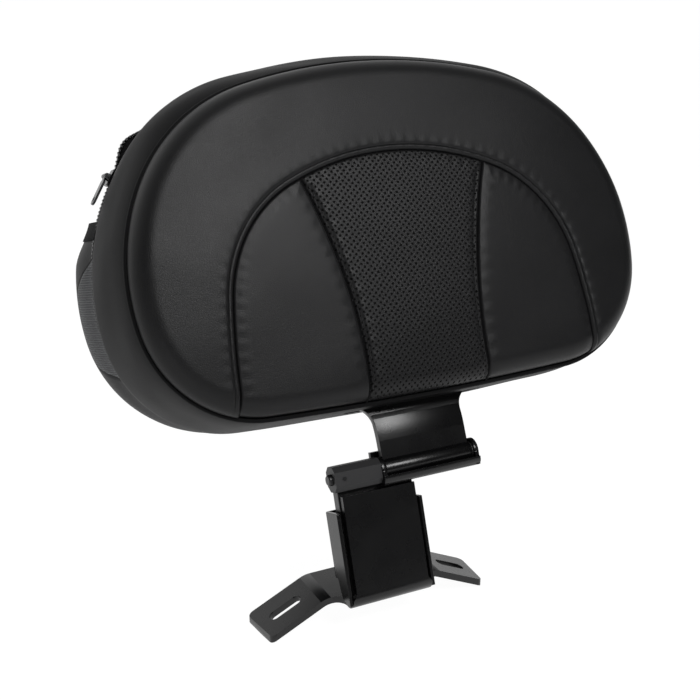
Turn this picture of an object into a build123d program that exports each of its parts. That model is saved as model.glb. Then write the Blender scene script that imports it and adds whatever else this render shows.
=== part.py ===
from build123d import *
from math import cos, radians, sin, tan
import os

# Rider backrest: a padded back cushion with a rear zip pouch on a folding, lift-out steel bracket.
# All sizes are millimetres. X runs across the vehicle, Y points to the rear and Z points up.
# The origin is the middle of the base bracket's underside, where the bracket bolts down.

os.makedirs("parts", exist_ok=True)

# Base bracket: one steel plate, cut flat, with two arms bent down and a tab bent up
plate_t = 5.0
strap_depth = 37.0
strap_front_y = 0.0
arm_bend_x = 44.0
arm_tip_front_x = 86.0
arm_tip_rear_x = 90.0
arm_slope = 25.0
arm_bend_radius = 16.0
arm_corner_radius = 4.0
slot_x = 67.0
slot_length = 26.0
slot_width = 8.6
tab_half_width = 31.5
tab_corner_radius = 8.0
front_plate_half_width = 28.5
front_plate_foot_y = -22.0
front_plate_top = 82.8
front_plate_neck_start = 8.0
front_plate_neck_end = 14.0
plate_bend_radius = 4.0

# Sleeve: folded channel welded on the base bracket, leaning back with the front plate
sleeve_lean = 19.8
sleeve_outer_half = 34.0
sleeve_sheet = 2.5
sleeve_top = 71.8
sleeve_front = -2.0
sleeve_rear = -23.0
sleeve_corner_radius = 3.0
notch_top = 24.5
notch_front_top = -17.0
notch_front_foot = -13.5
liner_bottom = 27.0
liner_top = 70.0
slide_gap = 0.3
rivet_radius = 2.0
rivet_head_radius = 3.6
rivet_head_height = 1.6
rivet_depth = 3.5
rivet_heights = (38.0, 59.0)
hole_clearance = 0.1

# Tongue: flat bar that drops into the sleeve and carries the hinge
tongue_half_width = 29.5
tongue_t = 8.0
tongue_chamfer = 3.5

# Hinge on top of the tongue
hinge_height = 95.8
hinge_forward = -3.2
block_left_x = -33.5
block_height = 18.0
block_depth = 15.0
block_chamfer = 4.0
pin_radius = 4.0
pin_bore_gap = 0.05
pin_nub = 3.0
cross_pin_radius = 1.5
cross_pin_inset = 7.0
cradle_sheet = 3.0
cradle_front = 10.5
cradle_rear = 11.0
cradle_bottom = 10.8
cradle_lip_top = -4.0
cradle_rear_top = 12.0
cradle_ear_radius = 9.0
cradle_bend_radius = 2.5
eye_radius = 7.0
eye_side_gap = 0.3
end_washer_t = 1.0
bush_radius = 5.0
bush_length = 14.0
bush_bore_gap = 0.06
stop_height = 4.0
stop_length = 56.0
stop_gap = 0.3

# Neck: the plate that carries the cushion, rolled into an eye at its foot
neck_lean = 24.4
neck_x = 42.0
neck_width = 70.0
neck_t = 5.0
neck_joggle = 4.7
neck_joggle_length = 18.0
neck_joggle_below_cushion = 2.0
neck_bend_radius = 60.0
neck_flare = 18.0
neck_flare_radius = 14.0
neck_plate_edge = 16.0
neck_corner_radius = 3.0
screw_edge = 15.0
screw_row_pitch = 54.0
screw_row_height = 24.0
screw_radius = 3.0
screw_head_radius = 5.5
screw_head_height = 3.4
washer_radius = 6.5
washer_t = 1.2
tee_nut_flange_radius = 9.0
tee_nut_flange_t = 1.0
tee_nut_barrel_radius = 4.0

# Cushion, measured from the centre of the front welt's outline
hinge_to_cushion_foot = 47.4
welt_to_hinge = 19.8
half_width = 197.5
top_height = 124.0
bottom_height = 116.0
crown_arc = 398.0
side_arc = 146.0
crown_angle = 14.2
side_start_angle = 62.0
side_end_angle = 99.8
corner_end_angle = 177.8
crown = 14.0
crown_radius = 12.0
cover_t = 2.0
foam_gap = 0.6
welt_radius = 2.2
board_t = 9.0
board_inset = 9.0
cushion_depth = 48.0
back_lean = 15.0
back_growth = 10.0
back_rise = 4.0
neck_slot_gap = 1.5

# Seams on the front of the cover
arch_top = 56.0
arch_arcs = (197.0, 95.0, 430.0)
arch_angles = (0, 24, 80.6, 89)
divider_top = (72.5, 43.0)
divider_waist = (54.5, -20.0)
divider_foot_x = 48.5

# Rear pouch
pouch_depth = 20.0
pouch_growth = 8.0
pouch_edge_radius = 4.0
pocket_depth = 26.0
pocket_growth = 14.0
pocket_wall = 2.5
pocket_top = 34.0
pocket_edge_radius = 8.0
pocket_seam = 12.0
pocket_seam_t = 1.5
mesh_top = 14.0
mesh_bottom = -78.0
hem_height = 12.0
hem_t = 1.6
zip_end = -40.0
zip_tape_width = 14.0
zip_tape_t = 0.8
zip_tape_gap = 0.1
zip_seam_margin = 1.0
zip_chain_width = 5.0
zip_chain_t = 1.6
slider_angle = 57.0
slider_length = 12.0
slider_width = 9.0
slider_t = 2.0
slider_lug_t = 1.3
pull_pin_radius = 0.8
pull_eye_radius = 1.9
pull_length = 22.0
pull_width = 8.0
pull_t = 1.6
pull_hole_radius = 1.8
pull_gap = 0.3

# Directions and points that follow from the sizes above
lean_up = Vector(0, sin(radians(sleeve_lean)), cos(radians(sleeve_lean)))
lean_forward = Vector(0, -cos(radians(sleeve_lean)), sin(radians(sleeve_lean)))
neck_up = Vector(0, sin(radians(neck_lean)), cos(radians(neck_lean)))
neck_forward = Vector(0, -cos(radians(neck_lean)), sin(radians(neck_lean)))
back_rearward = Vector(0, cos(radians(back_lean)), -sin(radians(back_lean)))
sleeve_foot = Vector(0, front_plate_foot_y, 0)
hinge_to_cushion = hinge_to_cushion_foot + bottom_height
hinge_axis = sleeve_foot + lean_up * hinge_height + lean_forward * hinge_forward
cushion_centre = (
    Vector(neck_x, hinge_axis.Y, hinge_axis.Z) + neck_up * hinge_to_cushion + neck_forward * welt_to_hinge
)
back_centre = cushion_centre - neck_forward * cushion_depth + neck_up * back_rise

# Planes that the sketches are drawn on
strap_mid_y = strap_front_y + strap_depth / 2
strap_plane = Plane(origin=(0, strap_mid_y, 0), x_dir=(1, 0, 0), z_dir=(0, -1, 0))
sleeve_plane = Plane(origin=sleeve_foot, x_dir=(1, 0, 0), z_dir=lean_forward)
sleeve_section = Plane(origin=sleeve_foot, x_dir=(1, 0, 0), z_dir=lean_up)
cushion_plane = Plane(origin=cushion_centre, x_dir=(1, 0, 0), z_dir=neck_forward)
back_plane = Plane(origin=back_centre, x_dir=(1, 0, 0), z_dir=-back_rearward)

cushion_axis = Axis(cushion_centre, neck_forward)
back_axis = Axis(back_centre, -back_rearward)

neck_plate_half_width = neck_width / 2 + neck_flare
neck_joggle_end = -bottom_height - neck_joggle_below_cushion
neck_joggle_start = neck_joggle_end - neck_joggle_length
screw_x = neck_plate_half_width - screw_edge
screw_rows = (screw_row_height - bottom_height, screw_row_height + screw_row_pitch - bottom_height)
neck_plate_top = screw_rows[1] + neck_plate_edge

neck_left_x = neck_x - neck_width / 2
neck_right_x = neck_x + neck_width / 2
cradle_left_in = neck_left_x - end_washer_t - eye_side_gap
cradle_right_in = neck_right_x + end_washer_t + eye_side_gap
cradle_left_out = cradle_left_in - cradle_sheet
cradle_right_out = cradle_right_in + cradle_sheet
board_front = -(welt_to_hinge + neck_joggle - neck_t / 2 - board_t)
board_rear = board_front - board_t
neck_plate_rear = board_rear - neck_t


def sleeve_side(x):
    """Side-view plane at x: drawn as (forward, up the sleeve), extruded towards -X."""
    origin = sleeve_foot + Vector(x, 0, 0)
    return Plane(origin=origin, x_dir=lean_forward, z_dir=(-1, 0, 0))


def hinge_side(x):
    """Side-view plane at x through the hinge axis, square to the sleeve."""
    origin = Vector(x, hinge_axis.Y, hinge_axis.Z)
    return Plane(origin=origin, x_dir=lean_forward, z_dir=(-1, 0, 0))


def cushion_side(x):
    """Side-view plane at x through the cushion's centre, square to the cushion's front."""
    origin = Vector(x, cushion_centre.Y, cushion_centre.Z)
    return Plane(origin=origin, x_dir=neck_forward, z_dir=(-1, 0, 0))


def write(builder, name):
    """Label a finished piece and write it as a STEP file."""
    builder.part.label = name
    export_step(builder.part, f"parts/{name}.step")


def turn(angle):
    """Unit vector at an angle from up, towards +X."""
    return Vector(sin(radians(angle)), cos(radians(angle)))


# Right half of the cushion's outline: five arcs that run on into each other, from top to bottom
outline_angles = (0, crown_angle, side_start_angle, side_end_angle, corner_end_angle, 180)
crown_end, side_start, side_end, corner_end = [turn(angle) for angle in outline_angles[1:5]]
shoulder_arc = (half_width - crown_arc * crown_end.X - side_arc * (1 - side_start.X)) / (
    side_start.X - crown_end.X
)
corner_x = half_width + side_arc * (side_end.X - 1)
corner_y = (
    top_height
    + crown_arc * (crown_end.Y - 1)
    + shoulder_arc * (side_start.Y - crown_end.Y)
    + side_arc * (side_end.Y - side_start.Y)
)
corner_dx = corner_end.X - side_end.X
corner_dy = corner_end.Y - side_end.Y
bottom_fall = -bottom_height - corner_y
corner_arc = (corner_x * (1 + corner_end.Y) + bottom_fall * corner_end.X) / (
    corner_dy * corner_end.X - corner_dx * (1 + corner_end.Y)
)
bottom_arc = (corner_x + corner_arc * corner_dx) / corner_end.X
outline_arcs = (crown_arc, shoulder_arc, side_arc, corner_arc, bottom_arc)


def arc_centre(index, top, arcs, angles):
    """Centre of one arc in a chain that starts level at (0, top)."""
    centre = Vector(0, top - arcs[0])
    for step in range(1, index + 1):
        centre = centre + turn(angles[step]) * (arcs[step - 1] - arcs[step])
    return centre


def arc_chain(top, arcs, angles, grow=0.0):
    """Edges of a chain of tangent arcs, moved outward by grow."""
    edges = []
    for index, radius in enumerate(arcs):
        centre = arc_centre(index, top, arcs, angles)
        first, last = angles[index], angles[index + 1]
        points = [centre + turn(a) * (radius + grow) for a in (first, (first + last) / 2, last)]
        edges.append(Edge.make_three_point_arc(*points))
    return edges


def mirrored(edges):
    """Edges together with their mirror images."""
    return edges + [edge.mirror(Plane.YZ) for edge in edges]


def cushion_outline(grow=0.0):
    """The front outline as smooth edges, moved outward by grow."""
    return mirrored(arc_chain(top_height, outline_arcs, outline_angles, grow))


def run_down(edges, corners):
    """Edges followed by straight runs through the corners, with their mirror images."""
    start = edges[-1] @ 1
    for corner in corners:
        edges.append(Edge.make_line(start, Vector(*corner)))
        start = Vector(*corner)
    return mirrored(edges)


def arch_area():
    """Edges round the region inside the arch seam, closed well below the cushion."""
    edges = arc_chain(arch_top, arch_arcs, arch_angles)
    foot = edges[-1] @ 1
    low = -2 * bottom_height
    return run_down(edges, ((foot.X, low), (0, low)))


def centre_area():
    """Edges round the region between the two divider seams."""
    high = Vector(divider_top[0], arch_top + crown_arc)
    low = -2 * bottom_height
    foot = Vector(divider_foot_x, -bottom_height)
    cap = Edge.make_line(Vector(0, high.Y), high)
    rise = Edge.make_line(high, Vector(*divider_top))
    curve = Edge.make_three_point_arc(Vector(*divider_top), Vector(*divider_waist), foot)
    return run_down([cap, rise, curve], ((foot.X, low), (0, low)))


# Base bracket
arm_run = arm_tip_rear_x + 10 - arm_bend_x
arm_drop = arm_run * tan(radians(arm_slope))
plate_corner_h = (plate_t / 2) * (1 + sin(radians(sleeve_lean))) / cos(radians(sleeve_lean))
strap_line = (
    (-arm_bend_x - arm_run, plate_t / 2 - arm_drop),
    (-arm_bend_x, plate_t / 2),
    (arm_bend_x, plate_t / 2),
    (arm_bend_x + arm_run, plate_t / 2 - arm_drop),
)
slot_z = plate_t / 2 - (slot_x - arm_bend_x) * tan(radians(arm_slope))
with BuildPart() as base_bracket:
    with BuildSketch(strap_plane):
        with BuildLine() as strap_path:
            FilletPolyline(*strap_line, radius=arm_bend_radius)
        trace(line_width=plate_t)
    extrude(amount=strap_depth / 2, both=True)
    with BuildSketch(Plane.XY) as strap_plan:
        with BuildLine():
            Polyline(
                (-arm_tip_front_x, strap_front_y),
                (arm_tip_front_x, strap_front_y),
                (arm_tip_rear_x, strap_front_y + strap_depth),
                (-arm_tip_rear_x, strap_front_y + strap_depth),
                close=True,
            )
        make_face()
        fillet(strap_plan.vertices(), radius=arm_corner_radius)
    extrude(amount=arm_drop + plate_t, both=True, mode=Mode.INTERSECT)
    for side in (-1, 1):
        slot_plane = Plane(
            origin=(side * slot_x, strap_mid_y, slot_z),
            x_dir=(cos(radians(arm_slope)), 0, -side * sin(radians(arm_slope))),
            z_dir=(side * sin(radians(arm_slope)), 0, cos(radians(arm_slope))),
        )
        with BuildSketch(slot_plane):
            SlotOverall(slot_length, slot_width)
        extrude(amount=plate_t, both=True, mode=Mode.SUBTRACT)
    with BuildSketch(Plane.YZ):
        with BuildLine() as tab_path:
            corner = sleeve_foot + lean_up * plate_corner_h - lean_forward * (plate_t / 2)
            top = sleeve_foot + lean_up * front_plate_top - lean_forward * (plate_t / 2)
            FilletPolyline(
                (strap_front_y + plate_t, plate_t / 2),
                (corner.Y, corner.Z),
                (top.Y, top.Z),
                radius=plate_bend_radius + plate_t / 2,
            )
        trace(line_width=plate_t)
    extrude(amount=tab_half_width, both=True)
    root_edges = base_bracket.edges().filter_by(Axis.Z).filter_by_position(
        Axis.Y, strap_front_y - 0.01, strap_front_y + 0.01
    )
    fillet(root_edges, radius=tab_corner_radius)
    with BuildSketch(sleeve_plane) as plate_trim:
        for side in (-1, 1):
            with BuildLine():
                Polyline(
                    (side * (tab_half_width + 1), front_plate_neck_start),
                    (side * front_plate_half_width, front_plate_neck_end),
                    (side * front_plate_half_width, front_plate_top + 1),
                    (side * (tab_half_width + 1), front_plate_top + 1),
                    close=True,
                )
            make_face()
    extrude(amount=plate_t * 2.5, both=True, mode=Mode.SUBTRACT)
write(base_bracket, "base_bracket")

# Sleeve channel
notch_foot = plate_t / cos(radians(sleeve_lean)) - notch_front_foot * tan(radians(sleeve_lean))
channel_foot = plate_t / cos(radians(sleeve_lean)) - sleeve_front * tan(radians(sleeve_lean))
with BuildPart() as sleeve_channel:
    with BuildSketch(sleeve_section.offset(front_plate_top)) as channel_section:
        with Locations((0, -(sleeve_front + sleeve_rear) / 2)):
            Rectangle(2 * sleeve_outer_half, sleeve_front - sleeve_rear)
        rear_corners = channel_section.vertices().sort_by(Axis.Y)[-2:]
        fillet(rear_corners, radius=sleeve_corner_radius)
        with Locations((0, -(sleeve_front + sleeve_rear + sleeve_sheet) / 2)):
            Rectangle(
                2 * (sleeve_outer_half - sleeve_sheet),
                sleeve_front - sleeve_rear - sleeve_sheet,
                mode=Mode.SUBTRACT,
            )
    extrude(amount=-front_plate_top)
    with BuildSketch(sleeve_side(0)):
        with BuildLine():
            Polyline(
                (sleeve_front, sleeve_top),
                (sleeve_front, channel_foot),
                (notch_front_foot, notch_foot),
                (notch_front_top, notch_top),
                (sleeve_rear, notch_top),
                (sleeve_rear, sleeve_top),
                close=True,
            )
        make_face()
    extrude(amount=sleeve_outer_half, both=True, mode=Mode.INTERSECT)
    with Locations(*[sleeve_plane * Pos(0, h, sleeve_rear) for h in rivet_heights]):
        Cylinder(rivet_radius + hole_clearance, 4 * sleeve_sheet, mode=Mode.SUBTRACT)
write(sleeve_channel, "sleeve_channel")

# Guide liner: nylon channel that the tongue slides in
liner_outer_half = sleeve_outer_half - sleeve_sheet
liner_inner_half = tongue_half_width + slide_gap
tongue_front = sleeve_front - (plate_t - abs(sleeve_front)) - slide_gap
tongue_rear = tongue_front - tongue_t
liner_front = tongue_front
liner_rear = sleeve_rear + sleeve_sheet
with BuildPart() as guide_liner:
    with BuildSketch(sleeve_section.offset(liner_bottom)):
        with Locations((0, -(liner_front + liner_rear) / 2)):
            Rectangle(2 * liner_outer_half, liner_front - liner_rear)
        with Locations((0, -(liner_front + tongue_rear - slide_gap) / 2)):
            Rectangle(2 * liner_inner_half, liner_front - tongue_rear + slide_gap, mode=Mode.SUBTRACT)
    extrude(amount=liner_top - liner_bottom)
    with Locations(*[sleeve_plane * Pos(0, h, liner_rear) for h in rivet_heights]):
        Cylinder(rivet_radius + hole_clearance, 8, mode=Mode.SUBTRACT)
write(guide_liner, "guide_liner")

# Liner rivets
with BuildPart() as liner_rivets:
    with Locations(*[sleeve_plane * Pos(0, h, sleeve_rear) for h in rivet_heights]):
        Cylinder(
            rivet_radius,
            sleeve_sheet + rivet_depth,
            align=(Align.CENTER, Align.CENTER, Align.MIN),
        )
        Cylinder(
            rivet_head_radius,
            rivet_head_height,
            align=(Align.CENTER, Align.CENTER, Align.MAX),
        )
write(liner_rivets, "liner_rivets")

# Hinge block: eight-sided bar welded across the tongue's left half
block_length = cradle_left_out - block_left_x
with BuildPart() as hinge_block:
    with BuildSketch(hinge_side(block_left_x)) as block_section:
        Rectangle(block_depth, block_height)
        chamfer(block_section.vertices(), length=block_chamfer)
    extrude(amount=-block_length)
    with BuildSketch(hinge_side(block_left_x)):
        Circle(pin_radius + pin_bore_gap)
    extrude(amount=-block_length, mode=Mode.SUBTRACT)
    cross_pin_plane = Plane(
        origin=hinge_axis + Vector(block_left_x + cross_pin_inset, 0, 0), x_dir=(1, 0, 0), z_dir=lean_forward
    )
    with BuildSketch(cross_pin_plane):
        Circle(cross_pin_radius)
    extrude(amount=block_depth, both=True, mode=Mode.SUBTRACT)
write(hinge_block, "hinge_block")

# Tongue
tongue_bottom = (plate_t + slide_gap - tongue_rear * sin(radians(sleeve_lean))) / cos(radians(sleeve_lean))
tongue_top_right = hinge_height - cradle_bottom
tongue_top_left = hinge_height - block_height / 2 + block_chamfer * 0.8
with BuildPart() as tongue:
    with BuildSketch(sleeve_plane.offset(tongue_rear)):
        with BuildLine():
            Polyline(
                (-tongue_half_width, tongue_bottom),
                (tongue_half_width, tongue_bottom),
                (tongue_half_width, tongue_top_right),
                (cradle_left_out, tongue_top_right),
                (cradle_left_out, tongue_top_left),
                (-tongue_half_width, tongue_top_left),
                close=True,
            )
        make_face()
    extrude(amount=tongue_t)
    foot_edge = tongue.edges().filter_by(Axis.X).filter_by_position(
        Axis.Y, -1e6, 1e6
    ).sort_by(Axis.Z)[:2].sort_by(Axis.Y)[0]
    chamfer(foot_edge, length=tongue_chamfer)
    with BuildSketch(hinge_side(block_left_x)) as block_clear:
        Rectangle(block_depth, block_height)
        chamfer(block_clear.vertices(), length=block_chamfer)
    extrude(amount=-block_length, mode=Mode.SUBTRACT)
write(tongue, "tongue")

# Cradle: folded trough with ears that carry the pin
cradle_length = cradle_right_out - cradle_left_out
with BuildPart() as cradle:
    with BuildSketch(hinge_side(cradle_left_out)) as trough:
        with BuildLine():
            Polyline(
                (cradle_front, cradle_lip_top),
                (cradle_front, -cradle_bottom),
                (-cradle_rear, -cradle_bottom),
                (-cradle_rear, cradle_rear_top),
                (-cradle_rear + cradle_sheet, cradle_rear_top),
                (-cradle_rear + cradle_sheet, -cradle_bottom + cradle_sheet),
                (cradle_front - cradle_sheet, -cradle_bottom + cradle_sheet),
                (cradle_front - cradle_sheet, cradle_lip_top),
                close=True,
            )
        make_face()
        outer = trough.vertices().sort_by(Axis.Y)[:2]
        fillet(outer, radius=cradle_bend_radius + cradle_sheet)
        inner = trough.vertices().filter_by_position(
            Axis.Y, -cradle_bottom + cradle_sheet - 0.01, -cradle_bottom + cradle_sheet + 0.01
        )
        fillet(inner, radius=cradle_bend_radius)
    extrude(amount=-cradle_length)
    for x in (cradle_left_out, cradle_right_in):
        with BuildSketch(hinge_side(x)):
            Circle(cradle_ear_radius)
            with Locations((0, -cradle_bottom / 2)):
                Rectangle(2 * cradle_ear_radius, cradle_bottom - cradle_sheet / 2)
        extrude(amount=-cradle_sheet)
    with BuildSketch(hinge_side(cradle_left_out)):
        Circle(pin_radius + pin_bore_gap)
    extrude(amount=-cradle_length, mode=Mode.SUBTRACT)
write(cradle, "cradle")

# Rest stop bar: the upright neck plate leans against it
neck_tilt = neck_lean - sleeve_lean
stop_top = cradle_rear_top
stop_face = -(stop_top * tan(radians(neck_tilt)) + neck_t / 2 / cos(radians(neck_tilt)) + stop_gap)
stop_back = -cradle_rear + cradle_sheet
with BuildPart() as stop_bar:
    with BuildSketch(hinge_side(neck_x - stop_length / 2)):
        with Locations(((stop_face + stop_back) / 2, stop_top - stop_height / 2)):
            Rectangle(stop_face - stop_back, stop_height)
    extrude(amount=-stop_length)
write(stop_bar, "stop_bar")

# Pivot pin
pin_left = block_left_x - pin_nub
with BuildPart() as pivot_pin:
    with BuildSketch(hinge_side(pin_left)):
        Circle(pin_radius)
    extrude(amount=-(cradle_right_out - pin_left))
    chamfer(pivot_pin.edges().filter_by(GeomType.CIRCLE), length=0.8)
    with BuildSketch(cross_pin_plane):
        Circle(cross_pin_radius)
    extrude(amount=block_depth, both=True, mode=Mode.SUBTRACT)
write(pivot_pin, "pivot_pin")

# Cross pin that holds the pivot pin in the block
with BuildPart() as cross_pin:
    with BuildSketch(cross_pin_plane):
        Circle(cross_pin_radius)
    extrude(amount=block_depth / 2 + 0.4, both=True)
write(cross_pin, "cross_pin")

# Thrust washers at both ends of the eye
with BuildPart() as thrust_washers:
    for x in (cradle_left_in, cradle_right_in - end_washer_t):
        with BuildSketch(hinge_side(x)):
            Circle(eye_radius)
            Circle(pin_radius + pin_bore_gap, mode=Mode.SUBTRACT)
        extrude(amount=-end_washer_t)
write(thrust_washers, "thrust_washers")

# Neck plate
neck_mid = -welt_to_hinge
screw_points = [(side * screw_x, v) for side in (-1, 1) for v in screw_rows]
with BuildPart() as neck_plate:
    with BuildSketch(cushion_side(neck_x)):
        with BuildLine():
            FilletPolyline(
                (neck_mid, -hinge_to_cushion),
                (neck_mid, neck_joggle_start),
                (neck_mid - neck_joggle, neck_joggle_end),
                (neck_mid - neck_joggle, neck_plate_top),
                radius=neck_bend_radius,
            )
        trace(line_width=neck_t)
    extrude(amount=neck_plate_half_width, both=True)
    with BuildSketch(cushion_plane) as neck_outline:
        with BuildLine():
            Polyline(
                (-neck_width / 2, -hinge_to_cushion - neck_t),
                (neck_width / 2, -hinge_to_cushion - neck_t),
                (neck_width / 2, neck_joggle_end),
                (neck_plate_half_width, neck_joggle_end),
                (neck_plate_half_width, neck_plate_top),
                (-neck_plate_half_width, neck_plate_top),
                (-neck_plate_half_width, neck_joggle_end),
                (-neck_width / 2, neck_joggle_end),
                close=True,
            )
        make_face()
        flare = neck_outline.vertices().filter_by_position(
            Axis.Y, neck_joggle_end - 0.01, neck_joggle_end + 0.01
        )
        fillet(flare.sort_by(Axis.X)[1:3], radius=neck_flare_radius)
        fillet((flare.sort_by(Axis.X)[0], flare.sort_by(Axis.X)[3]), radius=neck_corner_radius)
        fillet(neck_outline.vertices().sort_by(Axis.Y)[-2:], radius=2 * neck_corner_radius)
    extrude(amount=-60, mode=Mode.INTERSECT)
    with BuildSketch(hinge_side(neck_left_x)):
        Circle(eye_radius)
    extrude(amount=-neck_width)
    with BuildSketch(hinge_side(neck_left_x)):
        Circle(bush_radius)
    extrude(amount=-neck_width, mode=Mode.SUBTRACT)
    with BuildSketch(cushion_plane.offset(neck_plate_rear)):
        with Locations(*screw_points):
            Circle(screw_radius + hole_clearance)
    extrude(amount=neck_t, mode=Mode.SUBTRACT)
write(neck_plate, "neck_plate")

# Eye bushes
with BuildPart() as neck_bushes:
    for x in (neck_left_x, neck_right_x - bush_length):
        with BuildSketch(hinge_side(x)):
            Circle(bush_radius)
            Circle(pin_radius + bush_bore_gap, mode=Mode.SUBTRACT)
        extrude(amount=-bush_length)
write(neck_bushes, "neck_bushes")

# Screws, washers and tee nuts
screw_tip = board_front - 2 * tee_nut_flange_t
with BuildPart() as neck_screws:
    with BuildSketch(cushion_plane.offset(neck_plate_rear - washer_t)):
        with Locations(*screw_points):
            Circle(screw_radius)
    extrude(amount=screw_tip - neck_plate_rear + washer_t)
    with BuildSketch(cushion_plane.offset(neck_plate_rear - washer_t)):
        with Locations(*screw_points):
            Circle(screw_head_radius)
    extrude(amount=-screw_head_height)
    head_edges = [face.outer_wire().edges() for face in neck_screws.faces().sort_by(cushion_axis)[0:4]]
    chamfer([edge for edges in head_edges for edge in edges], length=0.6)
    with BuildSketch(cushion_plane.offset(neck_plate_rear - washer_t - screw_head_height)):
        with Locations(*screw_points):
            RegularPolygon(radius=2.9, side_count=6)
    extrude(amount=2.0, mode=Mode.SUBTRACT)
write(neck_screws, "neck_screws")

with BuildPart() as screw_washers:
    with BuildSketch(cushion_plane.offset(neck_plate_rear)):
        with Locations(*screw_points):
            Circle(washer_radius)
            Circle(screw_radius + hole_clearance, mode=Mode.SUBTRACT)
    extrude(amount=-washer_t)
write(screw_washers, "screw_washers")

with BuildPart() as tee_nuts:
    with BuildSketch(cushion_plane.offset(board_front)):
        with Locations(*screw_points):
            Circle(tee_nut_flange_radius)
            Circle(screw_radius, mode=Mode.SUBTRACT)
    extrude(amount=-tee_nut_flange_t)
    with BuildSketch(cushion_plane.offset(board_front - tee_nut_flange_t)):
        with Locations(*screw_points):
            Circle(tee_nut_barrel_radius)
            Circle(screw_radius, mode=Mode.SUBTRACT)
    extrude(amount=-(board_t - 2 * tee_nut_flange_t))
write(tee_nuts, "tee_nuts")

# Back board
with BuildPart() as back_board:
    with BuildSketch(cushion_plane.offset(board_rear)):
        make_face(cushion_outline(-board_inset))
        with Locations(*screw_points):
            Circle(tee_nut_barrel_radius, mode=Mode.SUBTRACT)
    extrude(amount=board_t)
    with BuildSketch(cushion_plane.offset(board_front - tee_nut_flange_t)):
        with Locations(*screw_points):
            Circle(tee_nut_flange_radius)
    extrude(amount=tee_nut_flange_t, mode=Mode.SUBTRACT)
write(back_board, "back_board")

# Front foam
inset = cover_t + foam_gap
with BuildPart() as front_foam:
    with BuildSketch(cushion_plane.offset(board_front)):
        make_face(cushion_outline(-inset))
    extrude(amount=crown - cover_t - foam_gap - board_front)
    front_edges = front_foam.faces().sort_by(cushion_axis)[-1].edges()
    fillet(front_edges, radius=crown_radius - inset)
write(front_foam, "front_foam")

# Rear foam, hollowed for the neck plate and its screws
recess_rear = neck_plate_rear - washer_t - screw_head_height - foam_gap
with BuildPart() as rear_foam:
    with BuildSketch(cushion_plane.offset(-welt_radius)):
        make_face(cushion_outline(-inset))
    with BuildSketch(back_plane.offset(foam_gap)):
        make_face(cushion_outline(back_growth - inset))
    loft()
    with BuildSketch(cushion_plane.offset(board_rear)):
        Rectangle(4 * half_width, 4 * top_height)
    extrude(amount=4 * cushion_depth, mode=Mode.SUBTRACT)
    with BuildSketch(cushion_plane.offset(recess_rear)):
        with Locations((0, (neck_plate_top + foam_gap - 2 * bottom_height) / 2)):
            Rectangle(
                2 * (neck_plate_half_width + foam_gap),
                neck_plate_top + foam_gap + 2 * bottom_height,
            )
    extrude(amount=board_rear - recess_rear, mode=Mode.SUBTRACT)
write(rear_foam, "rear_foam")

# Space that the foam fills inside the front cover
with BuildPart() as cover_space:
    with BuildSketch(cushion_plane.offset(-cover_t)):
        make_face(cushion_outline(-cover_t))
    extrude(amount=crown)
    inner_edges = cover_space.faces().sort_by(cushion_axis)[-1].edges()
    fillet(inner_edges, radius=crown_radius - cover_t)

# Front cover, sewn from a border, two side panels and a perforated centre panel
for panel_name in ("border_panel", "side_panels", "centre_panel"):
    with BuildPart() as panel:
        with BuildSketch(cushion_plane.offset(welt_radius)):
            make_face(cushion_outline(0))
        extrude(amount=crown - welt_radius)
        roll_edges = panel.faces().sort_by(cushion_axis)[-1].edges()
        fillet(roll_edges, radius=crown_radius - 0.5)
        add(cover_space.part, mode=Mode.SUBTRACT)
        if panel_name == "border_panel":
            with BuildSketch(cushion_plane.offset(-crown)):
                make_face(arch_area())
            extrude(amount=3 * crown, mode=Mode.SUBTRACT)
        else:
            with BuildSketch(cushion_plane.offset(-crown)):
                make_face(arch_area())
            extrude(amount=3 * crown, mode=Mode.INTERSECT)
            with BuildSketch(cushion_plane.offset(-crown)):
                make_face(centre_area())
            if panel_name == "centre_panel":
                extrude(amount=3 * crown, mode=Mode.INTERSECT)
            else:
                extrude(amount=3 * crown, mode=Mode.SUBTRACT)
    write(panel, panel_name)

# Welt round the front cover
welt_path = Wire(cushion_outline(0)).moved(cushion_plane.location)
welt_start = cushion_plane.from_local_coords((0, top_height, 0))
with BuildPart() as front_welt:
    with BuildSketch(Plane(origin=welt_start, z_dir=(1, 0, 0))):
        Circle(welt_radius)
    sweep(path=welt_path)
write(front_welt, "front_welt")

# Space inside the boxing band
with BuildPart() as band_space:
    with BuildSketch(cushion_plane.offset(-welt_radius)):
        make_face(cushion_outline(-cover_t))
    with BuildSketch(back_plane):
        make_face(cushion_outline(back_growth - cover_t))
    loft()

# Boxing band round the sides, with a slot for the neck
with BuildPart() as boxing_band:
    with BuildSketch(cushion_plane.offset(-welt_radius)):
        make_face(cushion_outline(0))
    with BuildSketch(back_plane):
        make_face(cushion_outline(back_growth))
    loft()
    add(band_space.part, mode=Mode.SUBTRACT)
    slot_mid = neck_mid - neck_joggle
    with BuildSketch(cushion_plane.offset(slot_mid - neck_t / 2 - neck_slot_gap)):
        with Locations((0, -bottom_height)):
            Rectangle(2 * (neck_plate_half_width + neck_slot_gap), bottom_height / 2)
    extrude(amount=neck_t + 2 * neck_slot_gap + 1, mode=Mode.SUBTRACT)
write(boxing_band, "boxing_band")

# Back panel
with BuildPart() as back_panel:
    with BuildSketch(back_plane):
        make_face(cushion_outline(back_growth))
    extrude(amount=-cover_t)
write(back_panel, "back_panel")

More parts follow.
